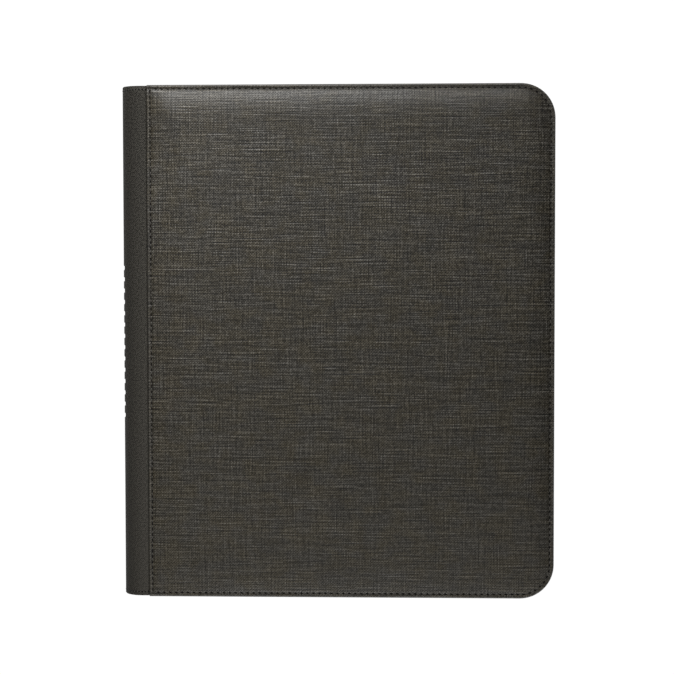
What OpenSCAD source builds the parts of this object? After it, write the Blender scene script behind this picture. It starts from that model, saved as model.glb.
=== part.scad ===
// Zip-around card binder: two padded covers and a soft rounded spine round a block of
// pocket pages, closed by a zip that runs along three edges.
// The closed binder lies on its back cover. +Z points out of the front cover, +Y to the
// head of the binder and +X from the spine to the fore edge.

/* [Outline] */
// Room between the pages and the cover's fore edge
fore_room = 40; // [30:0.5:50]
// Room between the pages and the cover's edge at head and foot
head_room = 20.5; // [18:0.5:30]
// Corner radius of the covers at the fore edge
corner_r = 23; // [20:1:30]

/* [Cover layers] */
// Thickness of the outer skin
skin_t = 1.0; // [0.8:0.1:1.4]
// Thickness of the foam under the skin
foam_t = 1.5; // [1.2:0.1:3]
// Thickness of the stiff board in each cover
board_t = 2.2; // [2:0.1:3]
// Thickness of the lining sheet inside each cover
lining_t = 0.6; // [0.4:0.1:1]
// Width of the flat sewn hem along the cover's edge
hem_w = 5.5; // [5:0.1:7]
// Thickness of the skin turned in under the hem
lip_t = 0.8; // [0.6:0.1:1.2]

/* [Spine] */
// Outer radius of the rounded spine corners
spine_r = 13; // [12:0.5:14.5]
// Distance of the front seam from the back of the spine
seam_x = 17.8; // [16:0.1:19]
// Flat width beside the seam before the padding rises
seam_hem = 3.7; // [3:0.1:5]
// Width over which the padding rises beside the seam
seam_crown_w = 10; // [8:0.5:16]
// Width of spine strip tucked under the cover skin at the seam
strip_tuck = 6.2; // [4:0.1:7]
// How far the ends of the spine strip stand back from the covers' edges
strip_short = 0.5; // [0.3:0.1:2]
// Thickness of the spine board
spine_board_t = 1.6; // [1.2:0.1:2]
// Depth of foam between the spine strip and the spine board
spine_foam_t = 1.8; // [1.4:0.1:2.2]
// Depth of the block that the pages are bound in
binding_t = 3.4; // [3:0.1:4]
// Number of plain grooves pressed across the spine
groove_count = 14; // [6:1:18]
// Distance between the grooves
groove_pitch = 7.7; // [6:0.1:9]
// Width of one groove
groove_w = 2.6; // [1.5:0.1:4]
// Depth of the grooves
groove_d = 0.5; // [0.2:0.1:0.6]

/* [Pages] */
// Number of pocket pages
page_count = 20; // [16:1:21]
// Distance from page to page in the closed block
page_pitch = 1.42; // [1.36:0.01:1.5]
// Width of a page
page_w = 242; // [200:1:300]
// Height of a page
page_h = 304; // [270:1:360]
// Thickness of a page's backing sheet
sheet_t = 0.2; // [0.15:0.05:0.25]
// Thickness of the clear pocket film
film_t = 0.12; // [0.08:0.01:0.14]
// Depth of a pocket, for one card
slot_t = 0.36; // [0.32:0.01:0.38]
// Plain margin beside the binding
page_margin = 22; // [20:1:24]
// Plain margin along the page's other three edges
page_border = 4; // [3:0.5:6]
// Width of a weld between pockets
weld_w = 2; // [1.5:0.1:3]
// Open mouth of a pocket, left between its film and the next weld
mouth_w = 3; // [2:0.5:5]
// Room between the page block and each lining
page_clear = 1.39; // [1.2:0.01:3]

/* [Zip] */
// Thickness of the zip tape
tape_t = 0.6; // [0.5:0.05:0.8]
// How far the cover's edge stands out past the tape wall
overhang = 4.5; // [4.3:0.1:5.2]
// Width of tape sewn into the hem, measured from the cover's edge
flange_w = 11; // [9:0.5:12]
// Gap between the two rows of teeth
teeth_gap = 1.2; // [1:0.1:1.6]
// Distance from tooth to tooth along a row
tooth_pitch = 3.2; // [2.8:0.1:4]
// Width of a tooth along the row
tooth_w = 1.6; // [1.2:0.1:1.8]
// Height of a tooth across the row
tooth_h = 3.6; // [3.2:0.1:4]
// Thickness of a tooth through the tape
tooth_t = 2.4; // [2:0.1:2.6]
// Length of the joined tail of the zip beside the spine
tail_len = 28; // [24:1:36]
// Length of the tab folded over the end of the tail
end_tab_len = 9; // [7:0.5:11]

/* [Slider] */
// Length of the slider along the zip
slider_len = 12; // [10:0.5:14]
// Thickness of the slider's plates
plate_t = 1.0; // [0.8:0.1:1.1]
// Radius of the pivot bar of the pull link
pivot_r = 0.6; // [0.5:0.05:0.65]
// Length of the pull link from pivot to pivot
link_len = 8; // [7:0.5:12]
// Length of the pull tab
tab_len = 24; // [18:1:26]
// Width of the pull tab
tab_w = 8; // [6:0.5:10]
// Thickness of the pull tab
tab_t = 1.6; // [1.4:0.1:1.8]

/* [Clearances] */
// Gap between layers that lie on each other
fit = 0.1; // [0.05:0.01:0.12]
// Running clearance round the pull link's bars
pivot_fit = 0.05; // [0.03:0.01:0.08]
// Gap between the slider and the teeth
slider_fit = 0.25; // [0.2:0.01:0.3]
// Gap between separate layers of one page
leaf_fit = 0.02; // [0.01:0.01:0.03]

/* [Hidden] */
$fn = 64;
// How far a cutting shape runs past what it cuts
past = 1;

// Page block
page_t = sheet_t + 2 * (slot_t + film_t + 2 * leaf_fit);
stack_h = (page_count - 1) * page_pitch + page_t;
pocket_cols = 3;
pocket_rows = 3;
page_corner_r = 6;
col_pitch = (page_w - page_margin - page_border) / pocket_cols;
row_pitch = (page_h - 2 * page_border) / pocket_rows;

// Levels of the front cover's layers, out from the middle of the binder
lining_z = stack_h / 2 + page_clear;
flange_z = lining_z + lining_t + fit;
board_z = lining_z + lining_t + fit;
board_top = board_z + board_t;
hem_under = flange_z + tape_t + fit;
hem_top = hem_under + skin_t;
lip_top = flange_z - fit;
lip_z = lip_top - lip_t;
cover_top = board_top + foam_t + skin_t + 2 * fit;
crown_rise = cover_top - hem_top;
binder_t = 2 * cover_top;

// The padding rises from the hem and is level just short of the corner's centre
crown_steps = 10;
corner_core = 1;
crown_end = corner_r - corner_core;
// The swept edge runs on into the level middle
core_e = crown_end + corner_core / 2;
function crown_z(e) = hem_top + crown_rise * sin(90 * (e - hem_w) / (crown_end - hem_w));
// Share of the rise's width past which the skin has room for the board under it
board_share = asin((board_top + 2 * fit + skin_t - hem_top) / crown_rise) / 90;
board_in = max(hem_w + (crown_end - hem_w) * board_share, flange_w) + 2 * fit;
foam_step = 0.8;
foam_in = board_in + foam_step;
lining_in = overhang + tape_t + fit;

// Spine section: arcs of radius spine_r join the flat back to the strip at the seam
strip_top = hem_under - fit;
strip_end = seam_x + strip_tuck;
arc_z = strip_top - spine_r;
core_x = max(strip_end, seam_x + seam_hem + seam_crown_w * board_share) + 2 * fit;
// A fold there lets the strip lie flat without stretching
hinge_in = spine_r * (1 - PI / 4);
hinge_z = strip_top - hinge_in;
hinge_slit = 0.2;
groove_wrap = 2;
groove_len = 2 * (arc_z + groove_wrap);
spine_foam_x = skin_t + fit;
spine_board_x = spine_foam_x + spine_foam_t + fit;
spine_lining_x = spine_board_x + spine_board_t + fit;
binding_x = spine_lining_x + lining_t + fit;
page_x = binding_x + binding_t + 2 * fit;
binder_w = page_x + page_w + fore_room;
binder_h = page_h + 2 * head_room;
strip_half = binder_h / 2 - strip_short;
inner_short = 6;
spine_inner_h = binder_h - 2 * inner_short;
// Half height at which a flat piece at depth x still lies inside the rounded strip
function room_z(x) = arc_z + sqrt(pow(spine_r - skin_t - fit, 2) - pow(spine_r - x, 2));

// Path of the zip, along the middle of the tape wall
wall_e = overhang + tape_t / 2;
wall_r = corner_r - wall_e;
zip_start = 5;
tape_lead = 4;
zip_x = strip_end + zip_start;
tape_x = zip_x - tape_lead;
side_len = binder_w - corner_r - zip_x;
bend_len = PI / 2 * wall_r;
fore_len = binder_h - 2 * corner_r;
zip_len = 2 * side_len + 2 * bend_len + fore_len;
tail_end = tape_x + tail_len;
tail_gap = 1;
flange_out = 1.2;
tooth_count = floor(zip_len / tooth_pitch);
// Edge of the tape and end of the tooth that grips it, from the middle of the zip
grip_share = 0.44;
tape_edge = teeth_gap / 2 + grip_share * tooth_h;
tooth_end = teeth_gap / 2 + tooth_h;
tail_rise = 4;
tail_h = tooth_end + tail_rise;
stop_len = 3;

// Slider, centred on the tail
slider_x = tail_end - slider_len;
plate_v = tooth_t / 2 + slider_fit;
plate_top = plate_v + plate_t;
flange_in = tooth_end + slider_fit;
flange_t = 0.9;
slider_half = flange_in + flange_t;
post_w = teeth_gap - 2 * slider_fit;
post_len = 2.6;
post_set = 1;
link_lift = 3 * fit;
pivot_v = plate_top + pivot_r + link_lift;
bridge_w = 2.4;
bridge_len = 7;
bridge_wall = 0.8;
bridge_top = pivot_v + pivot_r + pivot_fit + bridge_wall;
arm_w = 1.1;
arm_h = 1.6 * pivot_r;
arm_gap = 0.25;
link_half = bridge_w / 2 + arm_gap + arm_w;

page_names = [for (k = [1:page_count]) str("page_", k < 10 ? "0" : "", k)];

skin_colour = [0.27, 0.26, 0.24];
strip_colour = [0.23, 0.22, 0.21];
black_colour = [0.09, 0.09, 0.09];
metal_colour = [0.35, 0.35, 0.36];

// Moves a piece from the binder's own section, spine at x = 0 and middle at z = 0
module placed() {
    translate([-binder_w / 2, 0, binder_t / 2]) children();
}

// The back cover is the front cover turned over
module placed_back() {
    placed() mirror([0, 0, 1]) children();
}

// Sweeps a section, drawn as distance in from the edge and level, round the three open edges.
// A gap leaves the straights and the corners as separate lengths.
module edge_sweep(x_head, x_foot, gap = 0) {
    straight_x = binder_w - corner_r;
    corner_y = binder_h / 2 - corner_r;
    translate([straight_x - gap, binder_h / 2, 0])
        rotate([90, 0, -90])
            linear_extrude(straight_x - gap - x_head) children();
    translate([binder_w, -corner_y + gap, 0])
        rotate([90, 0, 180])
            linear_extrude(2 * (corner_y - gap)) children();
    translate([x_foot, -binder_h / 2, 0])
        rotate([90, 0, 90])
            linear_extrude(straight_x - gap - x_foot) children();
    for (turn = [0, -90])
        translate([straight_x, turn == 0 ? corner_y : -corner_y, 0])
            rotate([0, 0, turn])
                rotate_extrude(angle = 90)
                    translate([corner_r, 0])
                        mirror([1, 0]) children();
}

// The level middle of a cover, inside the swept edge
module middle_block(x_from, z_from, z_to) {
    translate([x_from, -(binder_h / 2 - crown_end), z_from])
        cube([binder_w - crown_end - x_from, binder_h - 2 * crown_end, z_to - z_from]);
}

// Everything under the padded surface as it rises from the seam
module seam_side(x_from, drop) {
    rise_x = seam_x + seam_hem;
    rise = [for (i = [0:crown_steps])
        [rise_x + seam_crown_w * i / crown_steps,
         hem_top + crown_rise * sin(90 * i / crown_steps) - drop]];
    translate([0, binder_h / 2 + past, 0])
        rotate([90, 0, 0])
            linear_extrude(binder_h + 2 * past)
                polygon(concat(
                    [[x_from, -past], [x_from, hem_top - drop]],
                    rise,
                    [[rise_x + seam_crown_w, cover_top + past],
                     [binder_w + past, cover_top + past],
                     [binder_w + past, -past]]));
}

function crown_points(drop, e_from) =
    [for (i = [0:crown_steps])
        let (e = e_from + (crown_end - e_from) * i / crown_steps)
        [e, crown_z(e) - drop]];

// A flat sheet with the cover's outline, set in from its edge
module cover_sheet(inset, x_from, z_from, thickness) {
    r = corner_r - inset;
    straight_x = binder_w - corner_r;
    translate([0, 0, z_from])
        linear_extrude(thickness) {
            translate([x_from, -(binder_h / 2 - inset)])
                square([straight_x - x_from, binder_h - 2 * inset]);
            translate([straight_x, -(binder_h / 2 - corner_r)])
                square([r, binder_h - 2 * corner_r]);
            for (side = [-1, 1])
                translate([straight_x, side * (binder_h / 2 - corner_r)]) circle(r);
        }
}

// Padded outer skin: crowned over the foam, with a rounded hem turned in along its edge
module cover_skin() {
    nose_r = (hem_top - lip_z) / 2;
    nose = [for (a = [270:-20:90])
        [nose_r + nose_r * cos(a), lip_z + nose_r + nose_r * sin(a)]];
    fold_t = 0.9;
    difference() {
        intersection() {
            union() {
                edge_sweep(seam_x, seam_x)
                    polygon(concat(
                        [[core_e, lip_z]], nose, crown_points(0, hem_w), [[core_e, cover_top]]));
                middle_block(seam_x, lip_z, cover_top);
            }
            seam_side(seam_x, 0);
        }
        intersection() {
            union() {
                edge_sweep(seam_x - past, seam_x - past)
                    polygon(concat(
                        [[core_e, lip_z - past], [overhang - fit, lip_z - past],
                         [overhang - fit, lip_top], [fold_t, lip_top], [fold_t, hem_under]],
                        crown_points(skin_t, hem_w), [[core_e, cover_top - skin_t]]));
                middle_block(seam_x - past, lip_z - past, cover_top - skin_t);
            }
            seam_side(seam_x - past, skin_t);
        }
    }
}

// Foam pad that gives the cover its crown
module cover_foam() {
    low = board_top + fit;
    drop = skin_t + fit;
    intersection() {
        union() {
            edge_sweep(core_x, core_x)
                polygon(concat(
                    [[core_e, low], [foam_in, low]], crown_points(drop, foam_in),
                    [[core_e, cover_top - drop]]));
            middle_block(core_x, low, cover_top - drop);
        }
        seam_side(core_x, drop);
    }
}

module cover_board() {
    cover_sheet(board_in, core_x, board_z, board_t);
}

module cover_lining() {
    cover_sheet(lining_in, core_x, lining_z, lining_t);
}

// Section of the rounded strip between two directions of its upper corner
module strip_arc(low_corner, high_corner) {
    translate([spine_r, arc_z])
        intersection() {
            difference() {
                circle(spine_r);
                circle(spine_r - skin_t);
            }
            polygon([[0, 0], low_corner * 2 * spine_r, high_corner * 2 * spine_r]);
        }
}

// Thin slit on the fold line, where the strip bends
module fold_slit() {
    translate([spine_r, arc_z])
        rotate(135)
            translate([0, -hinge_slit / 2]) square([2 * spine_r, hinge_slit]);
}

module along_spine(length) {
    translate([0, length / 2, 0]) rotate([90, 0, 0]) linear_extrude(length) children();
}

// The part of the spine strip that is sewn under the cover at the seam: its bend, and the
// flat edge beside it
module spine_flap() {
    flat_x = spine_r + leaf_fit;
    along_spine(2 * strip_half) {
        difference() {
            strip_arc([0, 1], [-1, 1]);
            fold_slit();
        }
        translate([flat_x, strip_top - skin_t]) square([seam_x - fit - flat_x, skin_t]);
    }
    // The tucked edge stops short of the hems
    along_spine(binder_h - 2 * overhang)
        translate([flat_x, strip_top - skin_t]) square([strip_end - flat_x, skin_t]);
}

// Zip tape: a flange sewn into the hem, and a wall in five lengths that carries the teeth
module zip_tape(x_head, x_foot) {
    edge_sweep(x_head, x_foot)
        translate([flange_out, flange_z]) square([flange_w - flange_out, tape_t]);
    edge_sweep(x_head, x_foot, leaf_fit)
        translate([overhang, tape_edge]) square([tape_t, flange_z - leaf_fit - tape_edge]);
}

// Carries a piece to a place along the zip, its x along the path and its y outwards
module on_path(s) {
    straight_x = binder_w - corner_r;
    corner_y = binder_h / 2 - corner_r;
    bend_1 = side_len + bend_len;
    fore_end = bend_1 + fore_len;
    bend_2 = fore_end + bend_len;
    if (s < side_len)
        translate([zip_x + s, binder_h / 2 - wall_e, 0]) children();
    else if (s < bend_1)
        translate([straight_x, corner_y, 0])
            rotate(-90 * (s - side_len) / bend_len) translate([0, wall_r, 0]) children();
    else if (s < fore_end)
        translate([binder_w - wall_e, corner_y - (s - bend_1), 0]) rotate(-90) children();
    else if (s < bend_2)
        translate([straight_x, -corner_y, 0])
            rotate(-90 - 90 * (s - fore_end) / bend_len) translate([0, wall_r, 0]) children();
    else
        translate([straight_x - (s - bend_2), -(binder_h / 2 - wall_e), 0]) rotate(180) children();
}

// One tooth: a blunt wedge with a slot that grips the edge of the tape
module tooth(length) {
    half = tooth_t / 2;
    grip = tape_t / 2 + fit;
    tip = 0.4;
    translate([-length / 2, 0, 0])
        rotate([90, 0, 90])
            linear_extrude(length)
                polygon([
                    [-half + tip, teeth_gap / 2], [half - tip, teeth_gap / 2],
                    [half, teeth_gap / 2 + tip], [half, tooth_end], [grip, tooth_end],
                    [grip, tape_edge - fit], [-grip, tape_edge - fit], [-grip, tooth_end],
                    [-half, tooth_end], [-half, teeth_gap / 2 + tip]]);
}

// Teeth between two places along the path; the two rows stand half a pitch apart
module teeth_row(s_from, s_to, shift) {
    for (i = [0:tooth_count - 1]) {
        s = (i + shift) * tooth_pitch;
        if (s > s_from + tooth_w && s < s_to - tooth_w) on_path(s) tooth(tooth_w);
    }
}

module zip_stop() {
    on_path(-stop_len / 2 - tooth_w) tooth(stop_len);
}

// Places on the path of the end tab and of the tail's joined stretch
tab_end_s = zip_len - (end_tab_len - (zip_x - tape_x) + fit);
tail_s = zip_len - (tail_end - zip_x);

module back_skin() color(skin_colour) placed_back() cover_skin();
module back_foam() color(black_colour) placed_back() cover_foam();
module back_board() color("tan") placed_back() cover_board();
module back_lining() color(black_colour) placed_back() cover_lining();
module back_spine_flap() color(strip_colour) placed_back() spine_flap();
module back_zip_tape() color(black_colour) placed_back() zip_tape(tape_x, tape_x);
module back_zip_teeth() color(black_colour) placed_back() teeth_row(0, tab_end_s, 0.5);
module back_zip_stop() color(metal_colour) placed_back() zip_stop();

module front_skin() color(skin_colour) placed() cover_skin();
module front_foam() color(black_colour) placed() cover_foam();
module front_board() color("tan") placed() cover_board();
module front_lining() color(black_colour) placed() cover_lining();
module front_spine_flap() color(strip_colour) placed() spine_flap();
module front_zip_tape() color(black_colour) placed() zip_tape(tape_x, tail_end + tail_gap);
module front_zip_teeth() color(black_colour) placed() teeth_row(0, tail_s, 1);
module front_zip_stop() color(metal_colour) placed() zip_stop();

// Stub of the upper tape with its teeth, which stays joined when the binder is open
module zip_tail() {
    color(black_colour) placed() {
        translate([tape_x, -(binder_h / 2 - wall_e) - tape_t / 2, tape_edge])
            cube([tail_len, tape_t, tail_h - tape_edge]);
        teeth_row(tail_s, tab_end_s, 1);
    }
}

// Tab folded over the end of both tapes
module zip_end_tab() {
    cheek = 1.2;
    slot = tape_t + 2 * fit;
    color(strip_colour) placed()
        translate([tape_x - cheek, -(binder_h / 2 - wall_e), 0])
            difference() {
                translate([0, -slot / 2 - cheek, -tail_h - fit])
                    cube([end_tab_len, slot + 2 * cheek, 2 * (tail_h + fit)]);
                translate([cheek - fit, -slot / 2, -tail_h - past])
                    cube([end_tab_len, slot, 2 * (tail_h + past)]);
            }
}

// Middle of the spine strip, with plain grooves pressed across its back
module spine_skin() {
    color(strip_colour) placed()
        difference() {
            along_spine(2 * strip_half)
                difference() {
                    union() {
                        translate([0, -arc_z]) square([skin_t, 2 * arc_z]);
                        for (side = [0, 1])
                            mirror([0, side]) strip_arc([-1, 1], [-1, 0]);
                    }
                    for (side = [0, 1]) mirror([0, side]) fold_slit();
                }
            for (i = [0:groove_count - 1])
                translate([-past, (i - (groove_count - 1) / 2) * groove_pitch - groove_w / 2,
                           -groove_len / 2])
                    cube([past + groove_d, groove_w, groove_len]);
        }
}

// Foam that rounds the spine out from its board
module spine_foam() {
    half = room_z(spine_board_x - fit) - fit;
    inner_r = spine_r - skin_t - fit;
    color(black_colour) placed()
        along_spine(spine_inner_h)
            intersection() {
                translate([spine_foam_x, -half]) square([spine_foam_t, 2 * half]);
                union() {
                    for (side = [-1, 1]) translate([spine_r, side * arc_z]) circle(inner_r);
                    translate([spine_foam_x, -arc_z]) square([spine_foam_t, 2 * arc_z]);
                }
            }
}

module spine_board() {
    half = room_z(spine_board_x) - fit;
    color("tan") placed()
        along_spine(spine_inner_h)
            translate([spine_board_x, -half]) square([spine_board_t, 2 * half]);
}

module spine_lining() {
    half = room_z(spine_lining_x) - fit;
    color(black_colour) placed()
        along_spine(spine_inner_h)
            translate([spine_lining_x, -half]) square([lining_t, 2 * half]);
}

// Block on the spine that holds the roots of the pages
module page_binding() {
    back_half = room_z(binding_x) - 2 * fit;
    face_half = stack_h / 2;
    shoulder = 2;
    color(black_colour) placed()
        along_spine(page_h)
            polygon([
                [binding_x, -back_half], [binding_x + shoulder, -face_half],
                [binding_x + binding_t, -face_half], [binding_x + binding_t, face_half],
                [binding_x + shoulder, face_half], [binding_x, back_half]]);
}

// Rounded outer corners of a page, as an outline
function page_outline(r) = concat(
    [[leaf_fit, -page_h / 2]],
    [for (a = [-90:18:0]) [page_w - r + r * cos(a), -page_h / 2 + r + r * sin(a)]],
    [for (a = [0:18:90]) [page_w - r + r * cos(a), page_h / 2 - r + r * sin(a)]],
    [[leaf_fit, page_h / 2]]);

// The pockets on one face of a page: welds on three sides, film over them, mouth to the spine
module page_face() {
    weld_z = sheet_t / 2 + leaf_fit;
    film_z = weld_z + slot_t + leaf_fit;
    low_y = -page_h / 2 + page_border;
    for (row = [0:pocket_rows])
        translate([page_margin, low_y + row * row_pitch - weld_w / 2, weld_z])
            cube([pocket_cols * col_pitch, weld_w, slot_t]);
    for (col = [1:pocket_cols]) {
        end_x = page_margin + col * col_pitch;
        for (row = [0:pocket_rows - 1])
            translate([end_x - weld_w, low_y + row * row_pitch + weld_w / 2 + leaf_fit, weld_z])
                cube([weld_w, row_pitch - weld_w - 2 * leaf_fit, slot_t]);
        translate([end_x - col_pitch + mouth_w, low_y - weld_w / 2, film_z])
            cube([col_pitch - mouth_w, pocket_rows * row_pitch + weld_w, film_t]);
    }
}

// One page: backing sheet with pockets on both faces, rooted at the binding
module page(k) {
    level = (k - (page_count + 1) / 2) * page_pitch;
    color(black_colour) placed()
        translate([page_x, 0, level]) {
            translate([0, 0, -sheet_t / 2]) linear_extrude(sheet_t) polygon(page_outline(page_corner_r));
            page_face();
            mirror([0, 0, 1]) page_face();
        }
}

// Carries a piece of the slider to its place, x along the zip and y outwards
module at_slider() {
    placed() translate([slider_x, -(binder_h / 2 - wall_e), 0]) mirror([0, 1, 0]) children();
}

// Outline of a slider plate: broad shoulders ahead, narrowing to the tail
module plate_outline() {
    tail_x = -slider_len / 2;
    nose_x = slider_len / 2;
    waist_x = 0.2 * tail_x;
    shoulder_x = 0.7 * nose_x;
    neck = 0.82 * slider_half;
    nose = 0.6 * slider_half;
    polygon([
        [tail_x, -neck], [waist_x, -slider_half], [shoulder_x, -slider_half], [nose_x, -nose],
        [nose_x, nose], [shoulder_x, slider_half], [waist_x, slider_half], [tail_x, neck]]);
}

// Slider: two plates with flanges that close on the tapes, joined by a post between the rows,
// and a bridge that carries the pull link
module slider_body() {
    tape_room = tape_t / 2 + slider_fit;
    color(metal_colour) at_slider()
        difference() {
            union() {
                rotate([90, 0, 0])
                    translate([0, 0, -plate_top])
                        linear_extrude(2 * plate_top) plate_outline();
                translate([-bridge_len / 2, plate_top - fit, -bridge_w / 2])
                    cube([bridge_len, bridge_top - plate_top + fit, bridge_w]);
            }
            difference() {
                translate([-slider_len, -plate_v, -flange_in])
                    cube([2 * slider_len, 2 * plate_v, 2 * flange_in]);
                translate([slider_len / 2 - post_len - post_set, -plate_v, -post_w / 2])
                    cube([post_len, 2 * plate_v, post_w]);
            }
            for (side = [-1, 1])
                translate([-slider_len, -tape_room, side > 0 ? flange_in - past : -slider_half - past])
                    cube([2 * slider_len, 2 * tape_room, flange_t + 2 * past]);
            translate([0, pivot_v, -bridge_w])
                cylinder(r = pivot_r + pivot_fit, h = 2 * bridge_w);
        }
}

// Wire link: a bar through the bridge, two arms and a bar that holds the tab
module pull_link() {
    color(metal_colour) at_slider()
        for (bar_x = [0, link_len]) {
            translate([bar_x, pivot_v, -link_half]) cylinder(r = pivot_r, h = 2 * link_half);
            for (side = [-1, 1])
                translate([0, pivot_v - arm_h / 2, side > 0 ? link_half - arm_w : -link_half])
                    cube([link_len, arm_h, arm_w]);
        }
}

// Flat grip moulded round the outer bar of the link
module pull_tab() {
    inner_half = link_half - arm_w - arm_gap;
    nose_wall = 0.7;
    nose_r = pivot_r + nose_wall;
    neck_len = 1.2;
    wide_x = link_len + pivot_r + neck_len;
    tab_end = link_len + tab_len;
    taper = 3;
    color(strip_colour) at_slider()
        difference() {
            union() {
                translate([link_len, pivot_v, -inner_half]) cylinder(r = nose_r, h = 2 * inner_half);
                translate([0, pivot_v + tab_t / 2, 0])
                    rotate([90, 0, 0])
                        linear_extrude(tab_t)
                            polygon([
                                [link_len, -inner_half], [wide_x, -inner_half],
                                [wide_x + taper, -tab_w / 2], [tab_end - taper, -tab_w / 2],
                                [tab_end, -tab_w / 3], [tab_end, tab_w / 3],
                                [tab_end - taper, tab_w / 2], [wide_x + taper, tab_w / 2],
                                [wide_x, inner_half], [link_len, inner_half]]);
            }
            translate([link_len, pivot_v, -tab_w])
                cylinder(r = pivot_r + pivot_fit, h = 2 * tab_w);
        }
}

back_skin();
back_foam();
back_board();
back_lining();
back_spine_flap();
back_zip_tape();
back_zip_teeth();
back_zip_stop();
zip_tail();
zip_end_tab();
front_skin();
front_foam();
front_board();
front_lining();
front_spine_flap();
front_zip_tape();
front_zip_teeth();
front_zip_stop();
spine_skin();
spine_foam();
spine_board();
spine_lining();
page_binding();
slider_body();
pull_link();
pull_tab();
for (k = [1:page_count])
    page(k);
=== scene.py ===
import math

import bmesh
import bpy
from bpy.props import FloatProperty, FloatVectorProperty, IntProperty, PointerProperty
from mathutils import Matrix, Vector, noise


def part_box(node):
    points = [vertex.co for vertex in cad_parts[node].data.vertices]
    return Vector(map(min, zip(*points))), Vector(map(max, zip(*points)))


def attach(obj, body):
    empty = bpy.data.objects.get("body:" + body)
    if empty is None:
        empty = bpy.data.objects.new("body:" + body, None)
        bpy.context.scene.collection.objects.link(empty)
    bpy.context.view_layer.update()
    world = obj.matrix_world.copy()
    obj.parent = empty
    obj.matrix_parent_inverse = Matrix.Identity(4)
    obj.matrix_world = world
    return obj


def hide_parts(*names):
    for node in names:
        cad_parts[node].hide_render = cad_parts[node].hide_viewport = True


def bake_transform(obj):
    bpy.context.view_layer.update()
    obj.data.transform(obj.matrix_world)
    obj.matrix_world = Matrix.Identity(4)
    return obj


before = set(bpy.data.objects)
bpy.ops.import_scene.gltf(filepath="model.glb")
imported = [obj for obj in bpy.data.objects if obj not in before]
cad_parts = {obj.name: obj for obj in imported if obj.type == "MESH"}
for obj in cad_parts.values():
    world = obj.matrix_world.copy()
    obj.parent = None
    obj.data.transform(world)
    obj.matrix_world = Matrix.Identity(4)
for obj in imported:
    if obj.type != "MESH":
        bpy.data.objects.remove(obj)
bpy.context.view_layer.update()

bl_info = {
    "name": "Zip-around card binder",
    "version": (1, 0, 0),
    "blender": (4, 5, 0),
    "location": "View3D > Sidebar > Binder",
    "description": "Dresses a card binder with padded covers, sewn seams, zip and pocket pages",
    "category": "Object",
}

MM = 0.001
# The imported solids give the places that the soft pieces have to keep
FRONT_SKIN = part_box("front_skin")
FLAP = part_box("front_spine_flap")
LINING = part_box("front_lining")
SPINE_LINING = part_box("spine_lining")
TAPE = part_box("back_zip_tape")
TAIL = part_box("zip_tail")
SPINE_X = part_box("spine_skin")[0].x
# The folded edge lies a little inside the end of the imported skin
SEAM_X = FRONT_SKIN[0].x + 0.4 * MM
FORE_X = FRONT_SKIN[1].x
HALF_H = FRONT_SKIN[1].y
TOP_Z = FRONT_SKIN[1].z
MID_Z = TOP_Z / 2
STRIP_TOP = FLAP[1].z - MID_Z
STRIP_END = FLAP[1].x
STRIP_HALF = FLAP[1].y
LIP_Z = FRONT_SKIN[0].z - MID_Z
BOARD_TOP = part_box("front_board")[1].z - MID_Z
PAGES = sorted(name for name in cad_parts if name.startswith("page_") and name[5:].isdigit())
SIDES = {1: "front", -1: "back"}
# Distances from the edge and from the seam, in mm, at which the cover's mesh has lines
EDGE_LINES = (1.3, 1.8, 2.2, 2.5, 2.8, 3.1, 3.4, 3.8, 4.3, 5.0, 5.8, 6.8, 8.0, 9.5, 11.2, 13.2, 15.5, 18.0, 20.5, 23.0)
SEAM_LINES = (0, 0.25, 0.5, 0.8, 1.2, 1.6, 1.9, 2.2, 2.6, 3.0, 3.5, 4.2, 5.0, 6.0, 7.2, 8.6)
COVER_STEP = 1.875 * MM
LIP_W = 4.2 * MM
# Share of the padding's rise that is left at the foot, and the length over which it comes back
FOOT_RISE = 0.3
FOOT_REACH = 90 * MM
VALLEY_D = 0.5 * MM
# Stitches, in mm: lift of the holes' discs of painted shade, length and width of a thread, length and width of a hole's
# painted shade
HEM_STITCH = (0.14, 2.0, 0.75, 1.9, 1.15)
SEAM_STITCH = (0.14, 1.7, 0.75, 2.1, 1.4)
STRIP_STITCH = (0.06, 1.2, 0.5, 1.2, 0.9)
TAB_STITCH = (0.04, 1.6, 0.5, 0.9, 0.6)
GROOVE_EDGE = 0.35 * MM
TOOTH_H = 3.6 * MM
GRIP_BAR = (0.55 * MM, 0.3 * MM, 2.9 * MM)
# The photo's camera, solved from the cover's four edges
FOCAL_PX = 1738.8
PHOTO_PX = 675
SENSOR_MM = 36


class CoverSizes(bpy.types.PropertyGroup):
    """Sizes of the padded covers"""
    corner_r: FloatProperty(name="Corner radius", description="Corner radius at the fore edge",
                            default=23 * MM, unit="LENGTH")
    skin_t: FloatProperty(name="Skin", description="Thickness of the cover skin with its glue gap",
                          default=1.1 * MM, unit="LENGTH")
    stitch_in: FloatProperty(name="Stitch line", description="Distance of the stitches from the edge",
                             default=2.9 * MM, unit="LENGTH")
    seam_stitch_in: FloatProperty(name="Seam stitch line", description="Distance of the stitches from the seam's fold",
                                  default=2.2 * MM, unit="LENGTH")
    stitch_pitch: FloatProperty(name="Stitch pitch", description="Distance from stitch to stitch",
                                default=4.05 * MM, unit="LENGTH")
    pad_w: FloatProperty(name="Padding width", description="Width over which the padding rises from the edge",
                         default=23 * MM, unit="LENGTH")
    seam_pad_w: FloatProperty(name="Seam padding width", description="Width over which the padding rises from the seam",
                              default=30 * MM, unit="LENGTH")


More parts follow.
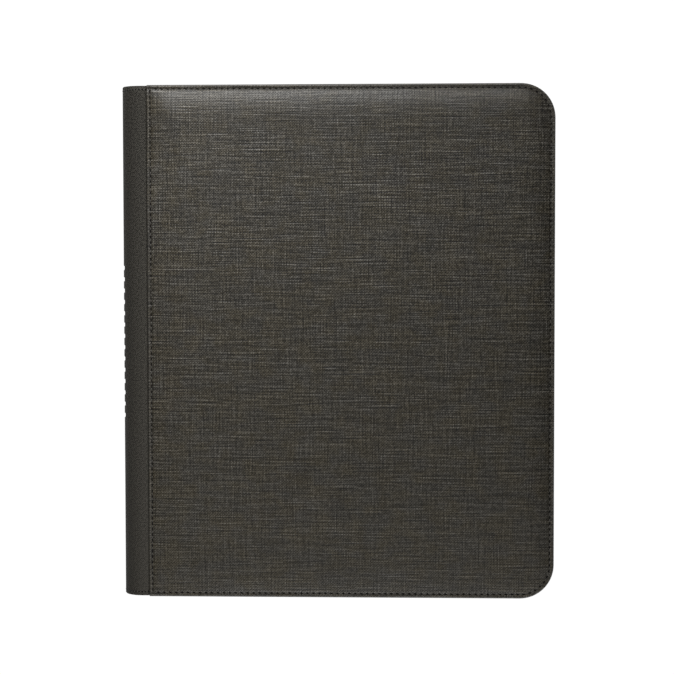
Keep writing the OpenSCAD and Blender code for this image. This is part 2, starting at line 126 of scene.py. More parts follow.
class SpineSizes(bpy.types.PropertyGroup):
    """Sizes of the rounded spine"""
    radius: FloatProperty(name="Radius", description="Outer radius of the spine's corners",
                          default=13 * MM, unit="LENGTH")
    groove_count: IntProperty(name="Grooves", description="Plain grooves pressed across the spine", default=14)
    groove_pitch: FloatProperty(name="Groove pitch", description="Distance between grooves",
                                default=7.7 * MM, unit="LENGTH")
    groove_w: FloatProperty(name="Groove width", description="Width of one groove", default=2.6 * MM, unit="LENGTH")
    groove_d: FloatProperty(name="Groove depth", description="Depth of a groove", default=0.75 * MM, unit="LENGTH")


class ZipSizes(bpy.types.PropertyGroup):
    """Sizes of the zip"""
    wall_in: FloatProperty(name="Wall inset", description="Distance of the tape wall from the cover's edge",
                           default=4.8 * MM, unit="LENGTH")
    tape_t: FloatProperty(name="Tape", description="Thickness of the tape", default=0.55 * MM, unit="LENGTH")
    tape_lead: FloatProperty(name="Tape lead", description="Length of tape ahead of the first tooth",
                             default=4 * MM, unit="LENGTH")
    tooth_pitch: FloatProperty(name="Tooth pitch", description="Distance from tooth to tooth along a row",
                               default=3.2 * MM, unit="LENGTH")


class Finishes(bpy.types.PropertyGroup):
    """Colours of the finishes"""
    cover: FloatVectorProperty(name="Cover", description="Linen-look cover", subtype="COLOR", size=3,
                               default=(0.0465, 0.0405, 0.0290))
    strip: FloatVectorProperty(name="Spine strip", description="Fine-grained spine strip", subtype="COLOR", size=3,
                               default=(0.036, 0.0335, 0.0285))
    thread: FloatVectorProperty(name="Thread", description="Sewing thread", subtype="COLOR", size=3,
                                default=(0.075, 0.07, 0.062))
    lining: FloatVectorProperty(name="Lining", description="Woven lining", subtype="COLOR", size=3,
                                default=(0.014, 0.014, 0.014))
    tape: FloatVectorProperty(name="Zip tape", description="Woven zip tape", subtype="COLOR", size=3,
                              default=(0.012, 0.012, 0.012))
    metal: FloatVectorProperty(name="Slider", description="Gunmetal slider", subtype="COLOR", size=3,
                               default=(0.10, 0.10, 0.105))


def sizes():
    """The scene, which holds the groups of sizes and finishes"""
    return bpy.context.scene


def smooth(t):
    t = min(1.0, max(0.0, t))
    return t * t * (3 - 2 * t)


def ease_out(t, power=3.0):
    t = min(1.0, max(0.0, t))
    return 1 - (1 - t) ** power


def add_piece(bm, name, materials, body=None):
    """Turns a bmesh into an object of the scene, and lets it ride on a body"""
    mesh = bpy.data.meshes.new(name)
    bm.to_mesh(mesh)
    bm.free()
    mesh.shade_smooth()
    for mat in materials:
        mesh.materials.append(mat)
    obj = bpy.data.objects.new(name, mesh)
    bpy.context.scene.collection.objects.link(obj)
    if body:
        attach(obj, body)
    return obj


def grid_sheet(us, vs, place, uv=None):
    """A grid of quads laid out by two lists of positions"""
    bm = bmesh.new()
    bmesh.ops.create_grid(bm, x_segments=len(us) - 1, y_segments=len(vs) - 1, size=1.0)
    columns = {x: i for i, x in enumerate(sorted({round(v.co.x, 5) for v in bm.verts}))}
    lines = {y: i for i, y in enumerate(sorted({round(v.co.y, 5) for v in bm.verts}))}
    if len(columns) != len(us) or len(lines) != len(vs):
        raise RuntimeError("grid has %d x %d lines" % (len(columns), len(lines)))
    spots = {v: (us[columns[round(v.co.x, 5)]], vs[lines[round(v.co.y, 5)]]) for v in bm.verts}
    if uv:
        layer = bm.loops.layers.uv.new("UVMap")
        for face in bm.faces:
            for loop in face.loops:
                loop[layer].uv = uv(*spots[loop.vert])
    for v, (a, b) in spots.items():
        v.co = place(a, b)
    return bm


def even(low, high, step):
    """Positions from low to high, spaced evenly at about the step"""
    count = max(1, round((high - low) / step))
    return [low + (high - low) * i / count for i in range(count + 1)]


def run_lengths(points):
    """Lengths along a line of flat points, from its start to each of them"""
    lengths = [0.0]
    for (a0, b0), (a1, b1) in zip(points, points[1:]):
        lengths.append(lengths[-1] + math.hypot(a1 - a0, b1 - b0))
    return lengths


def bend_corner(x, y, cx, cy, r):
    """Bends a corner of a square grid round: the new place, and its distance from the outline"""
    a, b = max(0.0, (x - cx) / r), max(0.0, (abs(y) - cy) / r)
    if a > 0 and b > 0:
        turn = math.pi / 4 * (b / a if a >= b else 2 - a / b)
        reach = r * max(a, b)
        x, y = cx + reach * math.cos(turn), math.copysign(cy + reach * math.sin(turn), y)
    return x, y, r * (1 - max(a, b))


def grow_rim(bm, edges):
    """Grows a row of faces from open edges: the new edges and the new points"""
    grown = bmesh.ops.extrude_edge_only(bm, edges=edges)["geom"]
    return ([g for g in grown if isinstance(g, bmesh.types.BMEdge)],
            [g for g in grown if isinstance(g, bmesh.types.BMVert)])


def face_way(bm, probe, way):
    """Turns all faces of a sheet so that the probe, one of them, looks the given way"""
    bmesh.ops.recalc_face_normals(bm, faces=bm.faces)
    if probe.normal.dot(Vector(way)) < 0:
        bmesh.ops.reverse_faces(bm, faces=bm.faces)


def thicken(piece, thickness, offset=0):
    """Gives a single sheet its thickness"""
    wall = piece.modifiers.new("Thickness", "SOLIDIFY")
    wall.thickness = thickness
    wall.offset = offset


def paint(node, mat, bevel=0.0):
    """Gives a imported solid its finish, with softened edges where it is moulded"""
    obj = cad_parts[node]
    obj.data.materials.clear()
    obj.data.materials.append(mat)
    if bevel:
        rounded = obj.modifiers.new("Edges", "BEVEL")
        rounded.width = bevel
        rounded.segments = 2
        rounded.limit_method = "ANGLE"


# Materials

def socket(tree, value, target):
    """Joins an output to an input, or sets the input to a plain value"""
    if hasattr(value, "links"):
        tree.links.new(value, target)
    else:
        target.default_value = value


class Nodes:
    """Short way to place and join shader nodes"""

    def __init__(self, tree):
        self.tree = tree

    def add(self, kind, inputs=(), out=0, **settings):
        node = self.tree.nodes.new(kind)
        for key, value in settings.items():
            setattr(node, key, value)
        for key, value in dict(inputs).items():
            socket(self.tree, value, node.inputs[key])
        return node.outputs[out]

    def math(self, operation, a, b=0.0):
        return self.add("ShaderNodeMath", {0: a, 1: b}, operation=operation)

    def times(self, a, b):
        return self.math("MULTIPLY", a, b)

    def plus(self, a, b):
        return self.math("ADD", a, b)

    def axes(self, vector):
        return self.add("ShaderNodeSeparateXYZ", {"Vector": vector}).node.outputs

    def scaled(self, vector, factor):
        return self.add("ShaderNodeVectorMath", {0: vector, "Scale": factor}, operation="SCALE")

    def clouds(self, vector, scale, detail=2.0):
        return self.add("ShaderNodeTexNoise", {"Vector": vector, "Scale": scale, "Detail": detail})

    def spread(self, value, low, high, to_low=0.0, to_high=1.0):
        return self.add("ShaderNodeMapRange", {"Value": value, "From Min": low, "From Max": high,
                                               "To Min": to_low, "To Max": to_high})

    def streaks(self, vector, scale, detail=2.0, rough=0.5):
        mapped = self.add("ShaderNodeMapping", {"Vector": vector, "Scale": scale})
        return self.add("ShaderNodeTexNoise", {"Vector": mapped, "Scale": 1.0, "Detail": detail, "Roughness": rough})

    def mix(self, fac, a, b):
        node = self.tree.nodes.new("ShaderNodeMix")
        node.data_type = "RGBA"
        for key, value in ((0, fac), (6, a), (7, b)):
            socket(self.tree, value, node.inputs[key])
        return node.outputs[2]

    def group(self, tree, inputs):
        node = self.tree.nodes.new("ShaderNodeGroup")
        node.node_tree = tree
        for key, value in inputs.items():
            socket(self.tree, value, node.inputs[key])
        return node.outputs["Height"], node.outputs["Tone"]


def shared_group(name, build, **numbers):
    """A node group with the outputs of its build function, made when it is first asked for"""
    tree = bpy.data.node_groups.get(name)
    if tree:
        return tree
    tree = bpy.data.node_groups.new(name, "ShaderNodeTree")
    tree.interface.new_socket(name="Vector", in_out="INPUT", socket_type="NodeSocketVector")
    for label, default in numbers.items():
        item = tree.interface.new_socket(name=label, in_out="INPUT", socket_type="NodeSocketFloat")
        item.default_value = default
    for label in ("Height", "Tone"):
        tree.interface.new_socket(name=label, in_out="OUTPUT", socket_type="NodeSocketFloat")
    source = tree.nodes.new("NodeGroupInput")
    sink = tree.nodes.new("NodeGroupOutput")
    height, tone = build(Nodes(tree), source.outputs)
    tree.links.new(height, sink.inputs["Height"])
    tree.links.new(tone, sink.inputs["Tone"])
    return tree


def linen_hatch(n, given):
    """Crossed threads of uneven length and depth, as on linen-pressed cover stock"""
    at = given["Vector"]
    axes = n.axes(at)
    threads = []
    for along, across in (("X", "Y"), ("Y", "X")):
        def laid(run, step, slice_scale=60):
            return (run, step, slice_scale) if along == "X" else (step, run, slice_scale)
        sway = n.times(n.streaks(at, laid(20, 210), 1.0), 6.0)
        thread = n.spread(n.streaks(at, laid(45, 750), 0.0), 0.25, 0.75, -0.4, 0.4)
        for pace, step in ((3900.0, 500), (3000.0, 400)):
            lines = n.math("SINE", n.plus(n.times(axes[across], pace), sway))
            bundle = n.spread(n.streaks(at, laid(45, step, step / 10), 0.0), 0.25, 0.75, -1.6, 1.6)
            thread = n.plus(thread, n.times(lines, bundle))
        threads.append(thread)
    sway = n.times(n.streaks(at, (160, 160, 60), 1.0), 4.0)
    twills = []
    for slant in ("SUBTRACT", "ADD"):
        run = n.times(n.math(slant, axes["X"], axes["Y"]), 3500.0)
        twills.append(n.math("SINE", n.plus(run, sway)))
    fuzz = n.spread(n.streaks(at, (1000, 1000, 60), 0.0), 0.25, 0.75, -1.0, 1.0)
    tone = 0.0
    for layer, weight in zip(threads + twills + [fuzz], (0.72, 0.41, 0.78, 0.47, 0.9)):
        tone = n.plus(n.times(layer, weight), tone)
    # Pressed less deeply towards the foot and on the rise at the head
    tone = n.times(tone, n.spread(axes["Y"], -0.15, 0.10, 0.66, 0.96))
    tone = n.times(tone, n.spread(axes["Y"], 0.13, 0.165, 1.0, 0.78))
    return n.plus(n.times(tone, 0.3), 0.5), tone


def fine_grain(n, given):
    """Small closed pebbles of pressed grain"""
    at = given["Vector"]
    pebbles = n.add("ShaderNodeTexVoronoi", {"Vector": at, "Scale": given["Scale"]}, feature="SMOOTH_F1")
    cloud = n.clouds(at, 160.0, 3.0)
    return n.plus(n.times(pebbles, 0.8), n.times(cloud, 0.2)), cloud


def twill_grain(n, given):
    """Fine slanting grain, broken up along its lines"""
    at = given["Vector"]
    axes = n.axes(at)
    slant = n.math("SUBTRACT", axes["X"], axes["Y"])
    sway = n.times(n.streaks(at, (220, 220, 60), 1.0), 8.0)
    lines = n.math("SINE", n.plus(n.times(slant, 4200.0), sway))
    specks = n.spread(n.streaks(at, (1100, 1100, 60), 1.0), 0.36, 0.64)
    height = n.plus(n.times(n.plus(lines, 1.0), 0.22), n.times(specks, 0.56))
    return height, height


def plain_weave(n, given):
    """Plain weave of two crossing sets of threads"""
    at = given["Vector"]
    along, across = (n.add("ShaderNodeTexWave", {"Vector": at, "Scale": given["Threads"], "Distortion": 0.6,
                                                 "Detail": 1.0}, out=1, bands_direction=way) for way in ("X", "Y"))
    fuzz = n.clouds(at, 900.0, 3.0)
    cross = n.times(along, across)
    return n.plus(n.times(cross, 0.7), n.times(fuzz, 0.3)), fuzz


def shade(color, factor):
    """A darker or lighter shade of a colour"""
    return (color[0] * factor, color[1] * factor, color[2] * factor, 1.0)


def finish(name, build, roughness=0.5, metallic=0.0, specular=0.5, sheen=0.0):
    """A material whose build function returns the sockets of its colour, roughness, alpha and bump height"""
    mat = bpy.data.materials.get(name)
    if mat:
        return mat
    mat = bpy.data.materials.new(name)
    mat.use_nodes = True
    tree = mat.node_tree
    n = Nodes(tree)
    shader = tree.nodes["Principled BSDF"]
    for label, value in (("Roughness", roughness), ("Metallic", metallic), ("Specular IOR Level", specular),
                         ("Sheen Weight", sheen)):
        shader.inputs[label].default_value = value
    result = build(n)
    for key, label in (("color", "Base Color"), ("rough", "Roughness"), ("alpha", "Alpha")):
        if key in result:
            tree.links.new(result[key], shader.inputs[label])
    if "height" in result:
        bump = n.add("ShaderNodeBump", {"Strength": result["strength"], "Distance": result["distance"],
                                        "Height": result["height"]})
        tree.links.new(bump, shader.inputs["Normal"])
    return mat


def object_place(n):
    return n.add("ShaderNodeTexCoord", out=3)


def uv_place(n):
    return n.add("ShaderNodeTexCoord", out=2)


def cover_linen():
    color = sizes().binder_finish.cover
    grey = sum(color) / 3
    tint = [part - grey for part in color]

    def build(n):
        at = object_place(n)
        height, tone = n.group(shared_group("Linen hatch", linen_hatch), {"Vector": at})
        # Painted highlight along the seam's fold and on the hem's nose, read from the panel's attribute
        painted_rim_highlight = n.add("ShaderNodeAttribute", out="Fac", attribute_name="painted_rim_highlight")
        depth = n.math("MAXIMUM", n.plus(n.times(tone, 0.5), 1.0), 0.0)
        factor = n.times(n.times(depth, depth), 0.85)
        factor = n.plus(factor, n.times(painted_rim_highlight, 0.6))
        # Lit threads are greyer than the ground between them, and the warmth comes in blotches
        blotch = n.spread(n.streaks(at, (90, 110, 60), 1.0), 0.35, 0.65, 0.7, 1.2)
        body = n.scaled((grey, grey, grey), factor)
        warmth = n.scaled(tint, n.times(depth, blotch))
        mixed = n.add("ShaderNodeVectorMath", {0: body, 1: warmth}, operation="ADD")
        return {"color": n.add("ShaderNodeVectorMath", {0: mixed, 1: (0.0, 0.0, 0.0)}, operation="MAXIMUM"),
                "rough": n.spread(tone, -1.0, 1.0, 0.56, 0.46),
                "height": height, "strength": 0.4, "distance": 0.3 * MM}
    return finish("cover linen", build, specular=0.56)


def strip_leather():
    color = sizes().binder_finish.strip

    def build(n):
        at = uv_place(n)
        height, tone = n.group(shared_group("Twill grain", twill_grain), {"Vector": at})
        axes = n.axes(at)
        # Smoother towards the foot. Painted light: paler towards the foot and darker towards the head; painted shade,
        # darker on the round than beside the seam; painted shadow, darkest in the crease
        grain = n.times(n.spread(tone, 0.2, 0.8, -0.8, 0.8), n.spread(axes["Y"], -0.15, 0.10, 0.6, 1.0))
        factor = n.times(n.plus(grain, 1.0), n.spread(axes["X"], 15 * MM, 28 * MM, 0.9, 1.45))
        factor = n.times(factor, n.spread(axes["Y"], -0.15, 0.15, 1.08, 0.83))
        factor = n.times(factor, n.spread(axes["X"], 28.4 * MM, 29.2 * MM, 1.0, 0.6))
        return {"color": n.scaled(color, factor),
                "rough": n.spread(tone, 0.3, 0.7, 0.72, 0.64),
                "height": height, "strength": 0.35, "distance": 0.2 * MM}
    return finish("spine leather", build, specular=0.1)


def sewing_thread():
    color = sizes().binder_finish.thread

    def build(n):
        twist = n.add("ShaderNodeTexWave", {"Vector": object_place(n), "Scale": 1500.0, "Distortion": 1.0}, out=1,
                      bands_direction="DIAGONAL")
        return {"color": n.mix(twist, shade(color, 0.7), shade(color, 1.2)),
                "height": twist, "strength": 0.4, "distance": 0.08 * MM}
    return finish("sewing thread", build, roughness=0.6)


# Painted shade: near-black finish of the discs that sit over the stitch holes
def painted_hole_shade():
    def build(n):
        grain = n.clouds(object_place(n), 900.0)
        return {"color": n.mix(grain, (0.004, 0.004, 0.004, 1), (0.012, 0.011, 0.01, 1))}
    return finish("painted hole shade", build, roughness=0.9, specular=0.1)


def woven(name, color, place, threads, lit, rough, strength, sheen):
    """Plainly woven cloth"""
    def build(n):
        weave = shared_group("Plain weave", plain_weave, Threads=2200.0)
        height, tone = n.group(weave, {"Vector": place(n), "Threads": threads})
        return {"color": n.mix(height, shade(color, 0.6), shade(color, lit)),
                "rough": n.spread(tone, 0.3, 0.7, *rough),
                "height": height, "strength": strength, "distance": 0.2 * MM}
    return finish(name, build, specular=0.3, sheen=sheen)


def lining_weave():
    return woven("lining weave", sizes().binder_finish.lining, object_place, 380.0, 1.5, (0.85, 0.7), 0.5, 0.15)


def tape_weave():
    return woven("zip tape weave", sizes().binder_finish.tape, uv_place, 520.0, 1.7, (0.8, 0.65), 0.6, 0.1)


def moulded(name, color, rough, grain_scale=1400.0, strength=0.15):
    """Moulded plastic or rubber with a fine pressed grain"""
    def build(n):
        grain = shared_group("Fine grain", fine_grain, Scale=1100.0)
        height, tone = n.group(grain, {"Vector": object_place(n), "Scale": grain_scale})
        return {"color": n.mix(n.spread(tone, 0.3, 0.7), shade(color, 0.85), shade(color, 1.15)),
                "rough": n.spread(tone, 0.3, 0.7, rough + 0.06, rough - 0.06),
                "height": height, "strength": strength, "distance": 0.05 * MM}
    return finish(name, build, roughness=rough)


def teeth_plastic():
    return moulded("zip teeth", (0.02, 0.02, 0.02), 0.38)


def pull_rubber():
    return moulded("pull rubber", (0.022, 0.022, 0.022), 0.6)


def slider_metal():
    color = sizes().binder_finish.metal

    def build(n):
        at = object_place(n)
        brushed = n.streaks(at, (200, 4000, 4000), 3.0)
        worn = n.spread(n.clouds(at, 500.0, 4.0), 0.45, 0.7)
        return {"color": n.mix(worn, shade(color, 0.9), shade(color, 1.6)),
                "rough": n.spread(brushed, 0.3, 0.7, 0.28, 0.44),
                "height": brushed, "strength": 0.08, "distance": 0.03 * MM}
    return finish("gunmetal", build, metallic=0.9)


def pressed_board():
    def build(n):
        fibres = n.streaks(object_place(n), (500, 500, 500), 4.0, 0.6)
        return {"color": n.mix(fibres, (0.016, 0.015, 0.013, 1), (0.032, 0.03, 0.026, 1)),
                "height": fibres, "strength": 0.3, "distance": 0.1 * MM}
    return finish("pressed board", build, roughness=0.85, specular=0.2)


def clear_film():
    def build(n):
        haze = n.clouds(object_place(n), 35.0)
        return {"color": n.mix(haze, (0.13, 0.13, 0.135, 1), (0.19, 0.19, 0.197, 1)),
                "alpha": n.spread(haze, 0.3, 0.7, 0.22, 0.3),
                "height": haze, "strength": 0.25, "distance": 0.6 * MM}
    return finish("clear film", build, roughness=0.3)


# Covers

def outward(x, y):
    """Direction out of the cover at a point near its three open edges"""
    r = sizes().binder_cover.corner_r
    corner = Vector((FORE_X - r, HALF_H - r))
    if x <= corner.x:
        return Vector((0, math.copysign(1, y)))
    if abs(y) <= corner.y:
        return Vector((1, 0))
    return Vector((x - corner.x, y - math.copysign(corner.y, y))).normalized()


def outline(inset, pitch, start_x, end_x=None):
    """Points at an even pitch round the three open edges: place, direction of travel, way out"""
    r = sizes().binder_cover.corner_r
    end_x = start_x if end_x is None else end_x
    cx, cy, arc = FORE_X - r, HALF_H - r, (r - inset) * math.pi / 2
    lengths = [cx - start_x, arc, 2 * cy, arc, cx - end_x]
    total = sum(lengths)
    count = max(1, round(total / pitch))
    points = []
    for i in range(count + 1):
        s = total * i / count
        part = 0
        while part < 4 and s > lengths[part]:
            s -= lengths[part]
            part += 1
        if part == 0:
            points.append((Vector((start_x + s, HALF_H - inset)), Vector((1, 0)), Vector((0, 1))))
        elif part == 2:
            points.append((Vector((FORE_X - inset, cy - s)), Vector((0, -1)), Vector((1, 0))))
        elif part == 4:
            points.append((Vector((cx - s, -HALF_H + inset)), Vector((-1, 0)), Vector((0, -1))))
        else:
            turn = s / (r - inset) + (math.pi / 2 if part == 3 else 0)
            out = Vector((math.sin(turn), math.cos(turn)))
            centre = Vector((cx, cy if part == 1 else -cy))
            points.append((centre + out * (r - inset), Vector((math.cos(turn), -math.sin(turn))), out))
    return points, total


def hem_level():
    """Height of the flat hem over the middle plane"""
    return STRIP_TOP + sizes().binder_cover.skin_t


def cover_level(e, s, foot):
    """Height of the padded cover over the middle plane, at distances from the edge, the seam and the foot"""
    c = sizes().binder_cover
    rise = TOP_Z - MID_Z - hem_level()
    # The padding reaches nearer to the seam at the head, and lies flatter towards the foot
    seam_w = c.seam_pad_w * (1 - 0.5 * smooth((foot - 2 * HALF_H + 60 * MM) / (50 * MM)))
    flat = FOOT_RISE + (1 - FOOT_RISE) * smooth(foot / FOOT_REACH)
    pad = ease_out((e - c.stitch_in - 0.4 * MM) / c.pad_w) * ease_out((s - c.seam_stitch_in - 0.4 * MM) / seam_w, 2.0)
    # It stays over the board everywhere
    over_board = smooth((e - 6 * MM) / (5 * MM)) * smooth((s - 3.2 * MM) / (3.2 * MM))
    lift = max(rise * pad * flat, (BOARD_TOP + 0.15 * MM - hem_level()) * over_board)
    valley = VALLEY_D * flat * math.exp(-((e - c.stitch_in) / (0.85 * MM)) ** 2)
    valley += VALLEY_D * math.exp(-((s - c.seam_stitch_in) / (0.75 * MM)) ** 2)
    fold = 0.6 * MM * max(0.0, 1 - s / (1.2 * MM)) ** 2
    return hem_level() + lift - valley - fold


def cover_panel(side, body):
    """Padded skin of one cover, with its folded seam and its hem turned in"""
    r = sizes().binder_cover.corner_r
    cx, cy = FORE_X - r, HALF_H - r
    rim = [e * r / EDGE_LINES[-1] for e in EDGE_LINES]
    near = [SEAM_X + s * MM for s in SEAM_LINES]
    xs = near + even(near[-1], cx, COVER_STEP)[1:] + [FORE_X - e for e in reversed(rim[:-1])]
    ys = [-HALF_H + e for e in rim] + even(-cy, cy, COVER_STEP)[1:-1] + [HALF_H - e for e in reversed(rim)]

    def place(x, y):
        x, y, e = bend_corner(x, y, cx, cy, r)
        level = cover_level(e, x - SEAM_X, y + HALF_H)
        level += 0.07 * MM * noise.noise(Vector((x * 45, y * 45, side * 3.0))) * min(1, e / (12 * MM))
        return Vector((x, y, MID_Z + side * level))

    bm = grid_sheet(xs, ys, place)
    # Painted highlight: this attribute lightens the cover's colour along the seam's fold and on the upper outer part of
    # the hem's nose
    painted_rim_highlight = bm.verts.layers.float.new("painted_rim_highlight")
    for v in bm.verts:
        v[painted_rim_highlight] = math.exp(-((v.co.x - SEAM_X - 0.8 * MM) / (0.5 * MM)) ** 2)
    # The hem: round nose and lip turned in under the edge
    nose = (hem_level() - LIP_Z) / 2
    steps = [(nose * (1 - math.sin(t)), LIP_Z + nose * (1 + math.cos(t))) for t in
             (math.pi * k / 8 for k in range(1, 9))] + [(LIP_W, LIP_Z), (LIP_W, LIP_Z + 0.5 * MM)]
    seam_side = SEAM_X + 1e-6
    rim_edges = [e for e in bm.edges if e.is_boundary and not all(v.co.x < seam_side for v in e.verts)]
    inset = rim[0]
    for new_inset, level in steps:
        rim_edges, new_points = grow_rim(bm, rim_edges)
        for v in new_points:
            out = outward(v.co.x, v.co.y) * (inset - new_inset)
            v.co = (v.co.x + out.x, v.co.y + out.y, MID_Z + side * level)
            # Painted highlight on the upper outer rows of the hem's nose
            v[painted_rim_highlight] = 1.0 if new_inset < 0.9 * MM and level > LIP_Z + nose else 0.0
        inset = new_inset
    # The folded edge along the seam
    fold_edges = [e for e in bm.edges if e.is_boundary and all(v.co.x < seam_side for v in e.verts)
                  and all(abs(v.co.y) < HALF_H - rim[0] + 1e-5 for v in e.verts)
                  and all(side * (v.co.z - MID_Z) > hem_level() - 1.2 * MM for v in e.verts)]
    for dx, dz in ((0.0, -0.35 * MM), (0.5 * MM, -0.6 * MM)):
        fold_edges, new_points = grow_rim(bm, fold_edges)
        for v in new_points:
            v.co = (v.co.x + dx, v.co.y, v.co.z + side * dz)
    if side < 0:
        bmesh.ops.reverse_faces(bm, faces=bm.faces)
    panel = add_piece(bm, SIDES[side] + "_cover_panel", [cover_linen()], body)
    return panel


def sew(bm, spots, stitch):
    """Adds threads, and dark discs of painted shade for the stitch holes between them, along a line of places"""
    level, length, width, hole_l, hole_w = (size * MM for size in stitch)
    for i, (place, along, out, up) in enumerate(spots):
        turn = Matrix((along, out, up)).transposed().to_4x4() @ Matrix.Rotation(math.radians(-16), 4, "Z")
        base = Matrix.Translation(place)
        if i % 2 == 0:
            size = Matrix.Diagonal((length / 2, width / 2, width * 0.42, 1))
            bmesh.ops.create_uvsphere(bm, u_segments=6, v_segments=5, radius=1.0, matrix=base @ turn @ size)
        else:
            # A flat dark disc of painted shade over the hole
            size = Matrix.Diagonal((hole_l / 2, hole_w / 2, 1, 1))
            lift = Matrix.Translation(up * level)
            made = bmesh.ops.create_circle(bm, cap_ends=True, segments=8, radius=1.0, matrix=lift @ base @ turn @ size)
            for v in made["verts"]:
                for face in v.link_faces:
                    face.material_index = 1


def add_stitches(bm, name, body=None):
    """Turns threads and the painted shade of the stitch holes into a piece"""
    bmesh.ops.recalc_face_normals(bm, faces=[f for f in bm.faces if f.material_index == 0])
    return add_piece(bm, name, [sewing_thread(), painted_hole_shade()], body)


def cover_stitches(side, body):
    """Lock stitches round the hem and down the seam of one cover"""
    c = sizes().binder_cover
    half = c.stitch_pitch / 2
    bm = bmesh.new()
    spots = []
    for place, along, out in outline(c.stitch_in, half, SEAM_X + 4 * MM)[0]:
        z = MID_Z + side * cover_level(c.stitch_in, place.x - SEAM_X, place.y + HALF_H)
        spots.append((Vector((*place, z)), Vector((*along, 0)), Vector((*out, 0)), Vector((0, 0, side))))
    sew(bm, spots, HEM_STITCH)
    spots = []
    for y in even(-HALF_H + 3 * MM, HALF_H - 3 * MM, 0.92 * half):
        e = HALF_H - abs(y)
        z = MID_Z + side * cover_level(max(e, 5 * MM), c.seam_stitch_in, y + HALF_H)
        spots.append((Vector((SEAM_X + c.seam_stitch_in, y, z)), Vector((0, 1, 0)), Vector((1, 0, 0)),
                      Vector((0, 0, side))))
    sew(bm, spots, SEAM_STITCH)
    piece = add_stitches(bm, SIDES[side] + "_cover_stitches", body)


class BINDER_OT_covers(bpy.types.Operator):
    """Padded covers with folded seams, hems and stitches"""
    bl_idname = "binder.covers"
    bl_label = "Padded covers"

    def execute(self, context):
        for side, body in ((1, "front_cover"), (-1, "back_cover")):
            panel = cover_panel(side, body)
            where = SIDES[side]
            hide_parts(where + "_skin", where + "_foam")
            cover_stitches(side, body)
        return {"FINISHED"}


# Spine

def spine_section():
    """Points and arc lengths of half the spine's section, from its middle to under the seam"""
    r = sizes().binder_spine.radius
    arc_z = STRIP_TOP - r
    points = [(0.0, arc_z * k / 5) for k in range(6)]
    for k in range(1, 17):
        a = math.pi / 2 * k / 16
        points.append((r - r * math.cos(a), arc_z + r * math.sin(a)))
    seam = SEAM_X - SPINE_X
    points += [(x, STRIP_TOP - drop * MM) for x, drop in (
        (r + 1.5 * MM, 0), (seam - 1.4 * MM, 0), (seam - 0.9 * MM, 0.15), (seam - 0.5 * MM, 0.6), (seam, 1.0),
        (seam + 1 * MM, 1.0), (STRIP_END - SPINE_X, 1.0))]
    return points, run_lengths(points)


def groove_depth(y, z):
    """Depth of the grooves across the spine, which run out on its round"""
    g = sizes().binder_spine
    place = y / g.groove_pitch + (g.groove_count - 1) / 2
    nearest = min(g.groove_count - 1, max(0, round(place)))
    off = abs(place - nearest) * g.groove_pitch
    wide = 1 - smooth((off - g.groove_w / 2 + GROOVE_EDGE) / (2 * GROOVE_EDGE))
    return g.groove_d * wide * (1 - smooth((z - 7.5 * MM) / (2 * MM)))


def spine_wrap(side):
    """One half of the spine strip, grooved across, with its ends turned in"""
    g = sizes().binder_spine
    points, lengths = spine_section()
    ys = set(even(-STRIP_HALF, STRIP_HALF, 5 * MM)) | {-STRIP_HALF + 0.6 * MM, STRIP_HALF - 0.6 * MM}
    for k in range(g.groove_count):
        centre = (k - (g.groove_count - 1) / 2) * g.groove_pitch
        ys |= {centre + s * (g.groove_w / 2 + d) for s in (-1, 1) for d in (-GROOVE_EDGE, 0, GROOVE_EDGE)}
        ys.add(centre)
    ys = sorted(ys)
    ys = [y for i, y in enumerate(ys) if i == 0 or y - ys[i - 1] > 0.05 * MM]
    # Lines past the ends are turned in under the strip as its hem
    hem = [(0.0, 0.45 * MM), (0.35 * MM, 0.85 * MM), (7 * MM, 0.85 * MM)]
    rows = [(-STRIP_HALF + back, depth) for back, depth in reversed(hem)] + [(y, 0.0) for y in ys[1:-1]]
    rows += [(STRIP_HALF - back, depth) for back, depth in hem]

    def place(i, row):
        y, depth = rows[row]
        x, z = points[i]
        x += groove_depth(y, z)
        toward = Vector((max(0.0, g.radius - x), min(0.0, STRIP_TOP - g.radius - z))).normalized() * depth
        x, z = x + toward.x, z + toward.y
        return Vector((SPINE_X + x, y, MID_Z + side * z))

    bm = grid_sheet(range(len(points)), range(len(rows)), place, uv=lambda i, row: (lengths[i], rows[row][0]))
    probe = min(bm.faces, key=lambda f: (f.calc_center_median() - Vector((SPINE_X, 0, MID_Z))).length)
    face_way(bm, probe, (-1, 0, 0))
    piece = add_piece(bm, "spine_wrap_" + SIDES[side], [strip_leather()])
    bend(piece, side)
    return piece


def bend(piece, side):
    """Bakes the placement of a piece of the spine into its mesh, the same for either side"""
    if side > 0:
        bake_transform(piece)
    else:
        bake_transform(piece)


def spine_hem_stitches(side):
    """Stitches across the hemmed ends of the spine strip"""
    points, lengths = spine_section()
    bm = bmesh.new()
    half = 0.27 * sizes().binder_cover.stitch_pitch
    for end in (-1, 1):
        spots = []
        s = 1.2 * MM
        while s < lengths[-1] - 6.5 * MM:
            k = max(i for i in range(len(lengths)) if lengths[i] <= s)
            (x0, z0), (x1, z1) = points[k], points[k + 1]
            t = (s - lengths[k]) / (lengths[k + 1] - lengths[k])
            along = Vector((x1 - x0, 0, side * (z1 - z0))).normalized()
            up = Vector((-(z1 - z0), 0, side * (x1 - x0))).normalized()
            place = Vector((SPINE_X + x0 + t * (x1 - x0), end * (STRIP_HALF - 2.6 * MM),
                            MID_Z + side * (z0 + t * (z1 - z0))))
            spots.append((place, along, Vector((0, end, 0)), up))
            s += half
        sew(bm, spots, STRIP_STITCH)
    piece = add_stitches(bm, "spine_stitches_" + SIDES[side])
    bend(piece, side)


